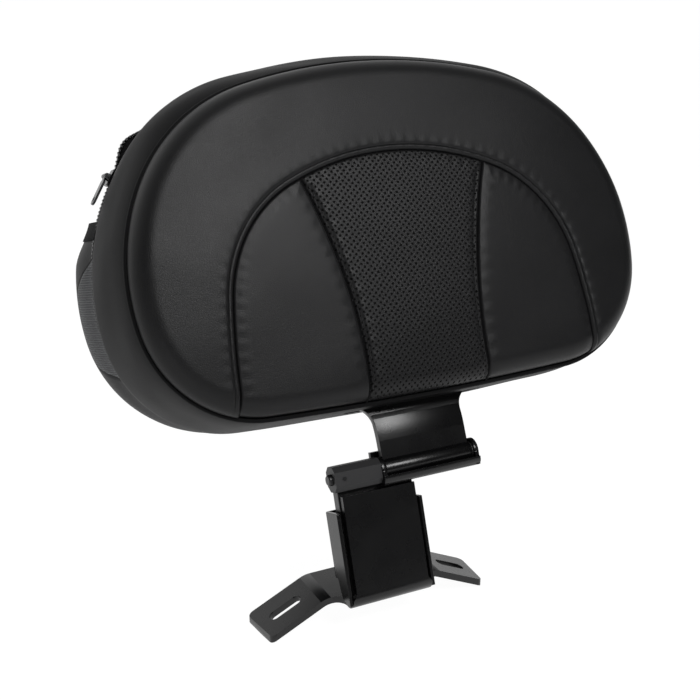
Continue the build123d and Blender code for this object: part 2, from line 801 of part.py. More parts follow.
# Space inside the pouch
pouch_front = -cover_t
pouch_rear = pouch_front - pouch_depth
with BuildPart() as pouch_space:
    with BuildSketch(back_plane.offset(pouch_front)):
        make_face(cushion_outline(pouch_growth - cover_t))
    extrude(amount=-(pouch_depth - cover_t))
    fillet(pouch_space.faces().sort_by(back_axis)[0].edges(), radius=pouch_edge_radius - cover_t)

# Pouch body, a shallow tray closed by the back panel
with BuildPart() as pouch_body:
    with BuildSketch(back_plane.offset(pouch_front)):
        make_face(cushion_outline(pouch_growth))
    extrude(amount=-pouch_depth)
    fillet(pouch_body.faces().sort_by(back_axis)[0].edges(), radius=pouch_edge_radius)
    add(pouch_space.part, mode=Mode.SUBTRACT)
write(pouch_body, "pouch_body")

# Zip tape and chain along the pouch's side wall, over the top from side to side
zip_centre = pouch_front - zip_tape_width / 2 - zip_seam_margin
zip_bands = (
    ("zip_tape", zip_tape_width, zip_tape_gap, zip_tape_t),
    ("zip_chain", zip_chain_width, zip_tape_t, zip_tape_t + zip_chain_t),
)
for band_name, band_width, band_in, band_out in zip_bands:
    with BuildPart() as band:
        with BuildSketch(back_plane.offset(zip_centre + band_width / 2)):
            make_face(cushion_outline(pouch_growth + band_out))
        extrude(amount=-band_width)
        with BuildSketch(back_plane.offset(zip_centre + band_width / 2)):
            make_face(cushion_outline(pouch_growth + band_in))
        extrude(amount=-band_width, mode=Mode.SUBTRACT)
        with BuildSketch(back_plane.offset(zip_centre + band_width)):
            with Locations((0, zip_end - 2 * bottom_height)):
                Rectangle(4 * half_width, 4 * bottom_height)
        extrude(amount=-2 * band_width, mode=Mode.SUBTRACT)
    write(band, band_name)

# Space inside the open pocket, down to the seam allowance that is sewn to the pouch
pocket_front = pouch_rear
with BuildPart() as bag_space:
    with BuildSketch(back_plane.offset(pocket_front - pocket_seam_t)):
        make_face(cushion_outline(pocket_growth - pocket_wall))
    extrude(amount=-(pocket_depth - pocket_wall - pocket_seam_t))
    fillet(bag_space.faces().sort_by(back_axis)[0].edges(), radius=pocket_edge_radius - pocket_wall)
    with BuildSketch(back_plane.offset(pocket_front)):
        make_face(cushion_outline(pocket_growth - pocket_seam))
    extrude(amount=-pocket_depth / 2)

# Open pocket on the pouch: the outer bag and its side gussets
gusset_depth = pocket_depth - pocket_edge_radius
for bag_name in ("lower_pocket", "mesh_gusset_left", "mesh_gusset_right"):
    with BuildPart() as bag:
        with BuildSketch(back_plane.offset(pocket_front)):
            make_face(cushion_outline(pocket_growth))
        extrude(amount=-pocket_depth)
        fillet(bag.faces().sort_by(back_axis)[0].edges(), radius=pocket_edge_radius)
        add(bag_space.part, mode=Mode.SUBTRACT)
        with BuildSketch(back_plane.offset(pocket_front + 1)):
            with Locations((0, pocket_top + 2 * top_height)):
                Rectangle(4 * half_width, 4 * top_height)
        extrude(amount=-pocket_depth - 2, mode=Mode.SUBTRACT)
        sides = {"lower_pocket": (-1, 1), "mesh_gusset_left": (-1,), "mesh_gusset_right": (1,)}[bag_name]
        with BuildSketch(back_plane.offset(pocket_front)):
            with Locations(*[(side * half_width, (mesh_top + mesh_bottom) / 2) for side in sides]):
                Rectangle(half_width, mesh_top - mesh_bottom)
        if bag_name == "lower_pocket":
            extrude(amount=-gusset_depth, mode=Mode.SUBTRACT)
        else:
            extrude(amount=-gusset_depth, mode=Mode.INTERSECT)
    write(bag, bag_name)

# Outer form of the pocket, which the hem is folded over
with BuildPart() as hem_core:
    with BuildSketch(back_plane.offset(pocket_front)):
        make_face(cushion_outline(pocket_growth))
    extrude(amount=-pocket_depth)
    fillet(hem_core.faces().sort_by(back_axis)[0].edges(), radius=pocket_edge_radius)

# Hem: webbing round the pocket's mouth
with BuildPart() as pocket_hem:
    with BuildSketch(back_plane.offset(pocket_front)):
        make_face(cushion_outline(pocket_growth + hem_t))
    extrude(amount=-pocket_depth - hem_t)
    fillet(pocket_hem.faces().sort_by(back_axis)[0].edges(), radius=pocket_edge_radius + hem_t)
    add(hem_core.part, mode=Mode.SUBTRACT)
    with BuildSketch(back_plane.offset(pocket_front)):
        with Locations((0, pocket_top - hem_height / 2)):
            Rectangle(4 * half_width, hem_height)
    extrude(amount=-pocket_depth - 2 * hem_t, mode=Mode.INTERSECT)
write(pocket_hem, "pocket_hem")

# Zip slider and its pull, on the left of the pouch
rim_height = pouch_growth + zip_tape_t + zip_chain_t
rim_centre = arc_centre(1, top_height, outline_arcs, outline_angles)
rim_point = rim_centre + turn(slider_angle) * (shoulder_arc + rim_height)
rim_tangent = turn(slider_angle + 90)
slider_point = back_plane.from_local_coords((-rim_point.X, rim_point.Y, zip_centre))
down = (
    back_plane.from_local_coords((-rim_tangent.X, rim_tangent.Y, 0))
    - back_plane.from_local_coords((0, 0, 0))
)
outward = (
    back_plane.from_local_coords((rim_tangent.Y, rim_tangent.X, 0))
    - back_plane.from_local_coords((0, 0, 0))
)
slider_plane = Plane(origin=slider_point, x_dir=down, z_dir=outward)
pivot_height = slider_t + pull_eye_radius + pull_gap
slider_y = slider_plane.y_dir
pull_plane = Plane(
    origin=slider_plane.from_local_coords((0, 0, pivot_height)), x_dir=down, z_dir=slider_y
)
lug_inner = slider_width / 2 - slider_lug_t
with BuildPart() as zip_slider:
    with BuildSketch(slider_plane) as slider_base:
        Rectangle(slider_length, slider_width)
        fillet(slider_base.vertices(), radius=2)
    extrude(amount=slider_t)
    for start in (-slider_width / 2, lug_inner):
        with BuildSketch(pull_plane.offset(start)):
            Circle(pull_eye_radius)
            with Locations((0, (pull_eye_radius + pull_gap) / 2)):
                Rectangle(2 * pull_eye_radius, pull_eye_radius + pull_gap)
        extrude(amount=slider_lug_t)
    with BuildSketch(pull_plane):
        Circle(pull_pin_radius)
    extrude(amount=slider_width / 2, both=True)
write(zip_slider, "zip_slider")

eye_half = lug_inner - pull_gap
tab_start = 2 * pull_eye_radius
with BuildPart() as zip_pull:
    with BuildSketch(pull_plane):
        Circle(pull_eye_radius)
        with Locations((tab_start / 2 + 1, 0)):
            Rectangle(tab_start + 2, pull_t)
    extrude(amount=eye_half, both=True)
    with BuildSketch(pull_plane):
        Circle(pull_pin_radius + 0.06)
    extrude(amount=eye_half, both=True, mode=Mode.SUBTRACT)
    tab_plane = Plane(origin=pull_plane.origin, x_dir=pull_plane.x_dir, z_dir=pull_plane.y_dir)
    with BuildSketch(tab_plane) as tab_outline:
        with Locations(((tab_start + pull_length) / 2, 0)):
            Rectangle(pull_length - tab_start, pull_width)
            fillet(tab_outline.vertices().sort_by(Axis.X)[-2:], radius=pull_width / 2 - 0.5)
        with Locations((pull_length - pull_width / 2, 0)):
            Circle(pull_hole_radius, mode=Mode.SUBTRACT)
    extrude(amount=pull_t / 2, both=True)
write(zip_pull, "zip_pull")
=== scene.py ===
"""Rider backrest: a leather covered cushion with a rear zip pouch on a folding, lift-out steel bracket."""
from math import cos, pi, radians, sin

import bpy
import numpy as np
from mathutils import Matrix, Vector
from mathutils.kdtree import KDTree


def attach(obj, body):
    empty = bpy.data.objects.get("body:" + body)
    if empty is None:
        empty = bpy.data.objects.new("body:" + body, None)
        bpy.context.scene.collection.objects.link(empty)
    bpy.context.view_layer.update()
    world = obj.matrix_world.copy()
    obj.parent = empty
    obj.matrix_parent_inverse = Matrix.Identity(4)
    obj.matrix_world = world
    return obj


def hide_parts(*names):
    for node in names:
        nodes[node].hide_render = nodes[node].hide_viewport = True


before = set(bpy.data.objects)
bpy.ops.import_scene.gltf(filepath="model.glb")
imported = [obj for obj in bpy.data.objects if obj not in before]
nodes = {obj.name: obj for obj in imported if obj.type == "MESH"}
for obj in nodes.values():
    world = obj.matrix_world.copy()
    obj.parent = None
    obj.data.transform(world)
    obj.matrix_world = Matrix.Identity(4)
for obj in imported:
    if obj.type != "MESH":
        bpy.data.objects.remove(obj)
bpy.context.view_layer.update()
bpy.ops.object.select_all(action="DESELECT")

# Camera: the photograph looks slightly down at the backrest from its left front.
# A 59 mm lens on a 36 mm wide sensor gives the perspective of its square picture.
camera_tilt = 19.65
camera_turn = 26.42
bpy.ops.object.camera_add(
    location=(-0.3439, -0.6406, 0.4433),
    rotation=(radians(90 - camera_tilt), 0, radians(-camera_turn)),
)
camera = bpy.context.object
camera.name = "photo_camera"
camera.data.lens = 59.45
camera.data.sensor_width = 36
bpy.context.scene.camera = camera
bpy.context.scene.view_settings.view_transform = "Standard"


# Floor: a wide sheet of matt white studio paper just under the tips of the bracket's arms.
# The camera sees it nearly white, with the backrest's soft shadow left on it.
def srgb(code):
    """Linear colour from an sRGB hex code."""
    channels = [int(code[i:i + 2], 16) / 255 for i in (1, 3, 5)]
    return tuple(c / 12.92 if c <= 0.04045 else ((c + 0.055) / 1.055) ** 2.4 for c in channels) + (1.0,)


def add(tree, kind, values=None, links=None, **settings):
    """Adds a node with its settings, its input values and its links {input: (node, output)}."""
    node = tree.nodes.new(kind)
    for name, value in settings.items():
        setattr(node, name, value)
    for name, value in (values or {}).items():
        node.inputs[name].default_value = value
    for name, (source, output) in (links or {}).items():
        tree.links.new(source.outputs[output], node.inputs[name])
    return node


def start_material(name, hex_colour, roughness, **inputs):
    """A new material with a Principled shader: returns it with its tree, shader and coordinates."""
    material = bpy.data.materials.new(name)
    material.use_nodes = True
    tree = material.node_tree
    shader = tree.nodes["Principled BSDF"]
    shader.inputs["Base Color"].default_value = srgb(hex_colour)
    shader.inputs["Roughness"].default_value = roughness
    for label, value in inputs.items():
        shader.inputs[label.replace("_", " ")].default_value = value
    return material, tree, shader, add(tree, "ShaderNodeTexCoord")


def bump_from(tree, shader, source, output, depth, **settings):
    """Roughens a shader's normal by a pattern whose relief is depth metres."""
    bump = add(
        tree, "ShaderNodeBump", {"Strength": 1.0, "Distance": depth}, {"Height": (source, output)},
        **settings,
    )
    tree.links.new(bump.outputs["Normal"], shader.inputs["Normal"])
    return bump


def studio_rays(tree):
    """Light Path, and 1 for rays that see the studio in a reflection or through a clear thing."""
    rays = add(tree, "ShaderNodeLightPath")
    mirrored = add(
        tree, "ShaderNodeMath", links={0: (rays, "Is Glossy Ray"), 1: (rays, "Is Transmission Ray")},
        operation="MAXIMUM",
    )
    return rays, mirrored


floor_size = 40
floor_height = -0.0205
floor_white_share = 0.86
floor_white = 1.12
bpy.ops.mesh.primitive_plane_add(size=floor_size, location=(0, 0, floor_height))
floor = bpy.context.object
floor.name = "studio_floor"
bpy.ops.object.transform_apply(location=True, rotation=True, scale=True)
paper, tree, shader, place = start_material("matt_studio_paper", "#f0f0f0", 0.95)
fibre = add(tree, "ShaderNodeTexNoise", {"Scale": 60.0, "Detail": 2.0}, {"Vector": (place, "Object")})
dull = add(tree, "ShaderNodeMapRange", {"To Min": 0.93, "To Max": 0.97}, {"Value": (fibre, "Fac")})
tree.links.new(dull.outputs["Result"], shader.inputs["Roughness"])
rays, mirrored = studio_rays(tree)
seen = add(
    tree, "ShaderNodeMath", links={0: (rays, "Is Camera Ray"), 1: (mirrored, "Value")},
    operation="MAXIMUM",
)
share = add(
    tree, "ShaderNodeMath", {1: floor_white_share}, {0: (seen, "Value")}, operation="MULTIPLY"
)
glow = add(tree, "ShaderNodeEmission", {"Color": (1, 1, 1, 1), "Strength": floor_white})
blend = add(
    tree, "ShaderNodeMixShader",
    links={"Fac": (share, "Value"), 1: (shader, "BSDF"), 2: (glow, "Emission")},
)
tree.links.new(blend.outputs["Shader"], tree.nodes["Material Output"].inputs["Surface"])
floor.data.materials.append(paper)

# Studio: a white sweep behind the backrest, which reflections show too, and a dark room in front,
# where the camera stands. The camera sees white all round, from whichever side it looks.
sweep_way = (-0.3, 0.9, 0.3)
dark_level = 0.03
diffuse_share = 0.75
world = bpy.data.worlds.new("studio_room")
world.use_nodes = True
bpy.context.scene.world = world
tree = world.node_tree
background = tree.nodes["Background"]
background.inputs["Color"].default_value = (1, 1, 1, 1)
look = add(tree, "ShaderNodeTexCoord")
behind = add(
    tree, "ShaderNodeVectorMath", {1: sweep_way}, {0: (look, "Generated")}, operation="DOT_PRODUCT"
)
room = add(
    tree, "ShaderNodeMapRange",
    {"From Min": -0.1, "From Max": 0.8, "To Min": dark_level, "To Max": 1.0},
    {"Value": (behind, "Value")},
)
rays, mirrored = studio_rays(tree)
dim = add(tree, "ShaderNodeMath", {1: diffuse_share}, {0: (room, "Result")}, operation="MULTIPLY")
lit = add(
    tree, "ShaderNodeMix", links={0: (mirrored, "Value"), 2: (dim, "Value"), 3: (room, "Result")},
    data_type="FLOAT",
)
strength = add(
    tree, "ShaderNodeMix", {3: 1.0}, {0: (rays, "Is Camera Ray"), 2: (lit, "Result")}, data_type="FLOAT"
)
tree.links.new(strength.outputs[0], background.inputs["Strength"])
for name, place, aim, size, power in (
    ("key_softbox", (0.25, -0.9, 1.12), (-0.1, 0.0, 0.3), 0.5, 12),
    ("fill_softbox", (-1.3, -1.3, 0.4), (0.0, 0.0, 0.1), 0.8, 2),
    ("rim_softbox", (-0.9, 0.9, 1.0), (-0.1, 0.05, 0.25), 0.8, 1.5),
):
    bpy.ops.object.light_add(type="AREA", location=place)
    lamp = bpy.context.object
    lamp.name = name
    lamp.data.size = size
    lamp.data.energy = power
    lamp.rotation_euler = (Vector(aim) - Vector(place)).to_track_quat("-Z", "Y").to_euler()


# Bracket steel: laser-cut and folded plate, welded, then powder coated in gloss black.
# The coat rounds every cut edge and has a faint orange peel, so its highlights are soft.
def coat_steel(name, hex_colour, roughness, peel_depth):
    """Powder coat, enamel or black oxide on steel, with an orange peel about 1.5 mm across."""
    material, tree, shader, place = start_material(name, hex_colour, roughness, Specular_IOR_Level=0.4)
    peel = add(tree, "ShaderNodeTexNoise", {"Scale": 650.0, "Detail": 3.0}, {"Vector": (place, "Object")})
    patch = add(tree, "ShaderNodeTexNoise", {"Scale": 45.0, "Detail": 4.0}, {"Vector": (place, "Object")})
    gloss = add(
        tree, "ShaderNodeMapRange", {"To Min": roughness - 0.05, "To Max": roughness + 0.07},
        {"Value": (patch, "Fac")},
    )
    tree.links.new(gloss.outputs["Result"], shader.inputs["Roughness"])
    bump_from(tree, shader, peel, "Fac", peel_depth)
    return material


def dress(names, material, edge=0.0):
    """Gives CAD nodes their finish, welds their facets and rounds their cut edges."""
    for name in names:
        piece = nodes[name]
        piece.data.materials.clear()
        piece.data.materials.append(material)
        weld = piece.modifiers.new("weld", "WELD")
        weld.merge_threshold = 0.00001
        if edge:
            rounding = piece.modifiers.new("rounded_edges", "BEVEL")
            rounding.width = edge
            rounding.segments = 2
            rounding.limit_method = "ANGLE"
            rounding.angle_limit = radians(40)


powder_coat = coat_steel("powder_coated_steel", "#0a0a0b", 0.27, 0.00003)
dress(("base_bracket", "sleeve_channel", "cradle", "neck_plate"), powder_coat, edge=0.0006)
dress(("tongue", "stop_bar"), powder_coat, edge=0.0005)

# Hinge block: milled from solid bar and duller than the coat; its grey is a painted highlight.
# The cross pin holds the pivot pin in its bore.
# A grey coat: painted highlight for the light that the block's front catches.
block_highlight_coat = coat_steel("block_highlight_steel", "#2c2c2d", 0.48, 0.00002)
dress(("hinge_block",), block_highlight_coat, edge=0.0005)

# Pins and rivets: turned steel, blacked in oxide and oiled.
# They are a shade lighter than the powder coat, and their skin is finer.
pin_black = coat_steel("black_oxide_steel", "#161617", 0.36, 0.00001)
dress(("liner_rivets", "pivot_pin", "cross_pin"), pin_black, edge=0.0003)

# Screws, washers and tee nuts: zinc plated steel, bright, with a fine mottle in the plating.
# They hold the neck plate to the board and show only when the cushion is opened.
zinc, tree, shader, place = start_material("zinc_plated_steel", "#b9bcc0", 0.32, Metallic=1.0)
mottle = add(tree, "ShaderNodeTexNoise", {"Scale": 300.0, "Detail": 3.0}, {"Vector": (place, "Object")})
spread = add(tree, "ShaderNodeMapRange", {"To Min": 0.26, "To Max": 0.42}, {"Value": (mottle, "Fac")})
tree.links.new(spread.outputs["Result"], shader.inputs["Roughness"])
dress(("neck_screws", "screw_washers", "tee_nuts"), zinc, edge=0.0002)

# Eye bushes: sintered bronze, pressed into both ends of the neck's eye and left bare.
# The metal is porous, so it looks finely pitted.
bronze, tree, shader, place = start_material("sintered_bronze", "#a0793f", 0.4, Metallic=1.0)
pores = add(tree, "ShaderNodeTexNoise", {"Scale": 900.0, "Detail": 2.0}, {"Vector": (place, "Object")})
bump_from(tree, shader, pores, "Fac", 0.00003)
dress(("neck_bushes",), bronze)

# Guide liner and thrust washers: black nylon, moulded, with a dull skin.
# The liner is riveted in the sleeve, and the washers turn beside the neck's eye.
nylon, tree, shader, place = start_material("moulded_nylon", "#0e0e0e", 0.55)
skin = add(tree, "ShaderNodeTexNoise", {"Scale": 700.0, "Detail": 2.0}, {"Vector": (place, "Object")})
bump_from(tree, shader, skin, "Fac", 0.00003)
dress(("guide_liner", "thrust_washers"), nylon, edge=0.0003)

# Back board: 9 mm birch plywood inside the cushion, which the neck plate is screwed to.
# Its face veneer has long grain across the vehicle, 3 to 4 mm apart.
plywood, tree, shader, place = start_material("birch_plywood", "#b08f62", 0.7)
stretched = add(
    tree, "ShaderNodeMapping", {"Scale": (12.0, 260.0, 260.0)}, {"Vector": (place, "Object")}
)
veneer = add(tree, "ShaderNodeTexNoise", {"Scale": 1.0, "Detail": 5.0}, {"Vector": (stretched, "Vector")})
grain = add(
    tree, "ShaderNodeMix", {6: srgb("#bb9b6e"), 7: srgb("#94723f")}, {0: (veneer, "Fac")}, data_type="RGBA"
)
tree.links.new(grain.outputs[2], shader.inputs["Base Color"])
dress(("back_board",), plywood)

# Cushion's outline: five arcs a side that run on into each other, from the top to the bottom.
# Its front lies in a plane that leans back 24.4 degrees, and its rear in one at 15 degrees.
front_lean = radians(24.4)
rear_lean = radians(15)
across = np.array((1.0, 0.0, 0.0))
front_up = np.array((0.0, sin(front_lean), cos(front_lean)))
front_out = np.array((0.0, -cos(front_lean), sin(front_lean)))
back_up = np.array((0.0, sin(rear_lean), cos(rear_lean)))
back_out = np.array((0.0, cos(rear_lean), -sin(rear_lean)))
front_centre = np.array((42.0, 62.93, 246.04))
cushion_depth = 48.0
back_rise = 4.0
back_centre = front_centre - cushion_depth * front_out + back_rise * front_up
outline_top = 124.0
arc_radii = (398.0, 129.82, 146.0, 81.13, 3087.83)
arc_ends = [radians(a) for a in (0.0, 14.2, 62.0, 99.8, 177.8, 180.0)]


def turned(angle):
    """Unit vector at an angle from up, towards +X."""
    return np.array((sin(angle), cos(angle)))


def centres(top, radii, ends):
    """Centres of a chain of tangent arcs that starts level at (0, top)."""
    found = [np.array((0.0, top - radii[0]))]
    for i in range(1, len(radii)):
        found.append(found[-1] + turned(ends[i]) * (radii[i - 1] - radii[i]))
    return found


arc_centres = centres(outline_top, arc_radii, arc_ends)
arc_lengths = [r * (arc_ends[i + 1] - arc_ends[i]) for i, r in enumerate(arc_radii)]
half_round = sum(arc_lengths)


def rim(share, grow=0.0):
    """Point of the outline at a share of its half length, -1 to 1, counted from the top."""
    run = min(abs(share), 1.0) * half_round
    index = 0
    while index < len(arc_radii) - 1 and run > arc_lengths[index]:
        run -= arc_lengths[index]
        index += 1
    angle = arc_ends[index] + run / arc_radii[index]
    x, v = arc_centres[index] + (arc_radii[index] + grow) * turned(angle)
    return np.array((x if share >= 0 else -x, v))


def rims(shares, grow=0.0):
    """Points of the outline at many shares."""
    return np.array([rim(s, grow) for s in shares])


def on_front(flat, w):
    """Places, in metres, of points of the front plane that stand w millimetres proud."""
    w = np.broadcast_to(w, len(flat))
    place = flat[:, :1] * across + flat[:, 1:] * front_up + w[:, None] * front_out
    return (front_centre + place) / 1000


def on_back(flat, b):
    """Places, in metres, of points of the rear plane that stand b millimetres to the rear."""
    b = np.broadcast_to(b, len(flat))
    place = flat[:, :1] * across + flat[:, 1:] * back_up + b[:, None] * back_out
    return (back_centre + place) / 1000


def even(line, count):
    """The same line with its points evenly spaced."""
    steps = np.r_[0, np.cumsum(np.hypot(*np.diff(line, axis=0).T))]
    at = np.linspace(0, steps[-1], count)
    return np.c_[np.interp(at, steps, line[:, 0]), np.interp(at, steps, line[:, 1])]


def nearest(points, line):
    """Distance of each point to a dense line, and the number of the line's nearest point."""
    tree = KDTree(len(line))
    for i, (x, v) in enumerate(line):
        tree.insert((x, v, 0), i)
    tree.balance()
    hits = [tree.find((x, v, 0)) for x, v in points]
    return np.array([h[2] for h in hits]), np.array([h[1] for h in hits])


# Seams of the front: an arch of three arcs a side, which runs down into the bottom edge, and
# two dividers under it that lean in to the neck. They cut the cover into its four panels.
arch_top = 56.0
arch_radii = (197.0, 95.0, 430.0)
arch_ends = [radians(a) for a in (0.0, 24.0, 80.6, 89.0)]
divider_knots = ((72.5, 42.2), (54.5, -20.0), (48.5, -116.0))
arc_steps = 60
foot_spread = 0.3
arch_half = []
for radius, centre, start, end in zip(
    arch_radii, centres(arch_top, arch_radii, arch_ends), arch_ends[:-1], arch_ends[1:]
):
    for i in range(arc_steps):
        arch_half.append(centre + radius * turned(start + (end - start) * i / arc_steps))
low_shares = np.linspace(0.5, 1.0, 4001)
low_rim = rims(low_shares)
too_high = np.where(low_rim[:, 1] < 0, 0, 1000)


def foot_share(x):
    """Share of the outline's half where its bottom passes x."""
    return low_shares[np.argmin(np.abs(low_rim[:, 0] - x) + too_high)]


arch_foot = foot_share(arch_half[-1][0] + foot_spread)
arch_half.append(rim(arch_foot))
arch_half = even(np.array(arch_half), 1600)
split = int(np.argmin(np.hypot(*(arch_half - divider_knots[0]).T)))
divider_foot = foot_share(divider_knots[2][0])
(x0, v0), (x1, v1), (x2, v2) = divider_knots
divider_v = np.linspace(v0, v2, 200)
divider_x = (
    x0 * (divider_v - v1) * (divider_v - v2) / ((v0 - v1) * (v0 - v2))
    + x1 * (divider_v - v0) * (divider_v - v2) / ((v1 - v0) * (v1 - v2))
    + x2 * (divider_v - v0) * (divider_v - v1) / ((v2 - v0) * (v2 - v1))
)
divider = even(np.vstack([arch_half[split], np.c_[divider_x, divider_v][1:-1], rim(divider_foot)]), 800)
mirror = np.array((-1, 1))
arch_line = np.vstack([arch_half[::-1] * mirror, arch_half[1:]])
seam_lines = np.vstack([arch_line, divider, divider * mirror])
round_shares = np.linspace(-1, 1, 4001)
round_line = rims(round_shares)
round_outward = rims(round_shares, 1.0) - round_line


def beside(line, gap):
    """The line moved sideways, to the left of its run."""
    run = np.gradient(line, axis=0)
    run /= np.hypot(*run.T)[:, None]
    return line + gap * np.c_[-run[:, 1], run[:, 0]]


stitch_gap = 3.2
stitch_start = 40
arch_stitches = beside(arch_line, stitch_gap)
divider_stitches = beside(divider, -stitch_gap)[stitch_start:]
stitch_rows = (arch_stitches, divider_stitches, divider_stitches * mirror)
stitch_lines = np.vstack(stitch_rows)

# Roll of the front cover: it rises steeply out of the welt's seam and turns on to the front over
# 15 mm. The seams pull it down into creases, and a line of stitching runs beside each.
roll_run = 15.0
roll_inset = 1.2
roll_foot = 0.2
roll_top = 13.5
crown_rise = 4.0
crown_run = 45.0
seam_start = 1.0
seam_fade = 9.0
crease_depth = 2.8
crease_width = 1.0
pull_depth = 0.8
pull_width = 5.0
stitch_dip = 1.1
stitch_dip_width = 0.9
pucker_depth = 0.14
pucker_run = 9.0
pucker_off = 5.0
pucker_width = 4.0
drape_depth = 0.45
drape_waves = (31.0, 27.0, 23.0)


def cover(flat, lift=0.0):
    """Places of the front cover over points of its plane, lift millimetres off its surface."""
    edge, which = nearest(flat, round_line)
    seam, along = nearest(flat, seam_lines)
    stitch = nearest(flat, stitch_lines)[0]
    turn = radians(90) * np.clip(edge / roll_run, 0, 1)
    shift = np.where(edge < roll_run, (roll_run - roll_inset) * np.cos(turn) - roll_run + edge, 0.0)
    height = roll_foot + (roll_top - roll_foot) * np.sin(turn) ** 0.9
    fade = np.clip((edge - seam_start) / seam_fade, 0, 1)
    crease = crease_depth * np.exp(-((seam / crease_width) ** 2))
    crease += pull_depth * np.exp(-((seam / pull_width) ** 2))
    stitching = stitch_dip * np.exp(-((stitch / stitch_dip_width) ** 2))
    pucker = pucker_depth * np.sin(along / pucker_run)
    pucker *= np.exp(-((seam - pucker_off) / pucker_width) ** 2)
    x, v = flat[:, 0], flat[:, 1]
    wide, bend, tall = drape_waves
    drape = drape_depth * np.sin(x / wide + 1.1 * np.sin(v / bend)) * np.cos(v / tall + 0.6)
    crown = crown_rise * (1 - np.exp(-edge / crown_run))
    height = height + fade * (crown + drape + pucker - crease - stitching) + lift
    return on_front(flat + shift[:, None] * round_outward[which], height)


def mesh_piece(name, points, faces, material, thickness=0.0):
    """A piece from points and faces, merged, smoothed and given a thickness inwards."""
    mesh = bpy.data.meshes.new(name)
    mesh.from_pydata([tuple(p) for p in points], [], [tuple(int(n) for n in f) for f in faces])
    piece = bpy.data.objects.new(name, mesh)
    bpy.context.collection.objects.link(piece)
    bpy.ops.object.select_all(action="DESELECT")
    piece.select_set(True)
    bpy.context.view_layer.objects.active = piece
    bpy.ops.object.mode_set(mode="EDIT")
    bpy.ops.mesh.select_all(action="SELECT")
    bpy.ops.mesh.remove_doubles(threshold=0.00002)
    bpy.ops.object.mode_set(mode="OBJECT")
    if thickness:
        wall = piece.modifiers.new("wall", "SOLIDIFY")
        wall.thickness = thickness
        wall.offset = -1
        bpy.ops.object.modifier_apply(modifier="wall")
    bpy.ops.object.shade_smooth()
    mesh.materials.append(material)
    return piece


def sheet_faces(rows, columns, closed=False, flip=False):
    """Faces of a grid of points, row by row."""
    faces = []
    for i in range(rows - 1):
        for j in range(columns if closed else columns - 1):
            k = (j + 1) % columns
            face = (i * columns + j, i * columns + k, (i + 1) * columns + k, (i + 1) * columns + j)
            faces.append(face[::-1] if flip else face)
    return faces


def finish(piece, replaced=()):
    """Puts a piece of the cushion on the backrest body and hides the nodes of model.glb that it replaces.
    """
    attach(piece, "backrest")
    if replaced:
        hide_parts(*replaced)


def patch(left, right, bottom, top):
    """Points between four edges that meet at their ends."""
    rows, columns = len(left), len(bottom)
    u = np.linspace(0, 1, columns)[None, :, None]
    t = np.linspace(0, 1, rows)[:, None, None]
    left, right, bottom, top = left[:, None], right[:, None], bottom[None], top[None]
    corners = (
        (1 - u) * (1 - t) * bottom[:, :1] + u * (1 - t) * bottom[:, -1:]
        + (1 - u) * t * top[:, :1] + u * t * top[:, -1:]
    )
    return (1 - u) * left + u * right + (1 - t) * bottom + t * top - corners


def bunched(count, strength=0.7):
    """Steps from 0 to 1 that are short at both ends."""
    steps = np.linspace(0, 1, count)
    return steps - strength * np.sin(2 * pi * steps) / (2 * pi)


def resample(grid, axis, steps):
    """Moves the rows or columns of a grid to new steps along it."""
    count = grid.shape[axis]
    at = steps * (count - 1)
    low = np.clip(np.floor(at).astype(int), 0, count - 2)
    share = (at - low).reshape([-1 if a == axis else 1 for a in range(3)])
    return np.take(grid, low, axis) * (1 - share) + np.take(grid, low + 1, axis) * share


# Leather: black cowhide with a fine printed grain, dressed to a low sheen.
# The grain is drawn about 1.4 mm across, a little coarse so that it shows.
def grain_leather(name, hex_colour, roughness, shine=0.22):
    """Leather with grain cells and a slow change of gloss."""
    material, tree, shader, place = start_material(name, hex_colour, roughness, Specular_IOR_Level=shine)
    cells = add(
        tree, "ShaderNodeTexVoronoi", {"Scale": 720.0}, {"Vector": (place, "Object")},
        feature="DISTANCE_TO_EDGE",
    )
    creases = add(tree, "ShaderNodeMapRange", {"From Max": 0.12}, {"Value": (cells, "Distance")})
    slow = add(tree, "ShaderNodeTexNoise", {"Scale": 26.0, "Detail": 5.0}, {"Vector": (place, "Object")})
    gloss = add(
        tree, "ShaderNodeMapRange", {"To Min": roughness - 0.07, "To Max": roughness + 0.07},
        {"Value": (slow, "Fac")},
    )
    tree.links.new(gloss.outputs["Result"], shader.inputs["Roughness"])
    grain = bump_from(tree, shader, creases, "Result", 0.000035)
    return material, tree, shader, place, grain


leather_wall = 0.0014
leather = grain_leather("grained_leather", "#151516", 0.42)[0]

# Side panels and border of the front cover: plain leather over a block of soft foam.
# The panels swell between their seams, and the border, which hides the foam, rolls to the welt.
panel_rows = 121
side_columns = 61
border_columns = 341
bottom_side = rims(np.linspace(divider_foot, arch_foot, side_columns))
arch_side = even(arch_half[split:], panel_rows)[::-1]
divider_rise = even(divider, panel_rows)[::-1]
tip = np.repeat(arch_half[split][None], side_columns, 0)
side_flat = patch(divider_rise, arch_side, bottom_side, tip)
side_flat = resample(resample(side_flat, 1, bunched(65)), 0, bunched(panel_rows, 0.5))
border_inner = even(arch_line, border_columns)
border_outer = even(rims(np.linspace(-arch_foot, arch_foot, 2401)), border_columns)
border_steps = bunched(65)[:, None, None]
border_flat = border_inner[None] * (1 - border_steps) + border_outer[None] * border_steps
for name, flat, flip, replaced in (
    ("right_side_panel", side_flat, False, ("side_panels",)),
    ("left_side_panel", side_flat * mirror, True, ()),
    ("border_cover", border_flat, True, ("border_panel", "front_foam")),
):
    rows, columns = flat.shape[:2]
    points = cover(flat.reshape(-1, 2))
    piece = mesh_piece(name, points, sheet_faces(rows, columns, flip=flip), leather, leather_wall)
    finish(piece, replaced)

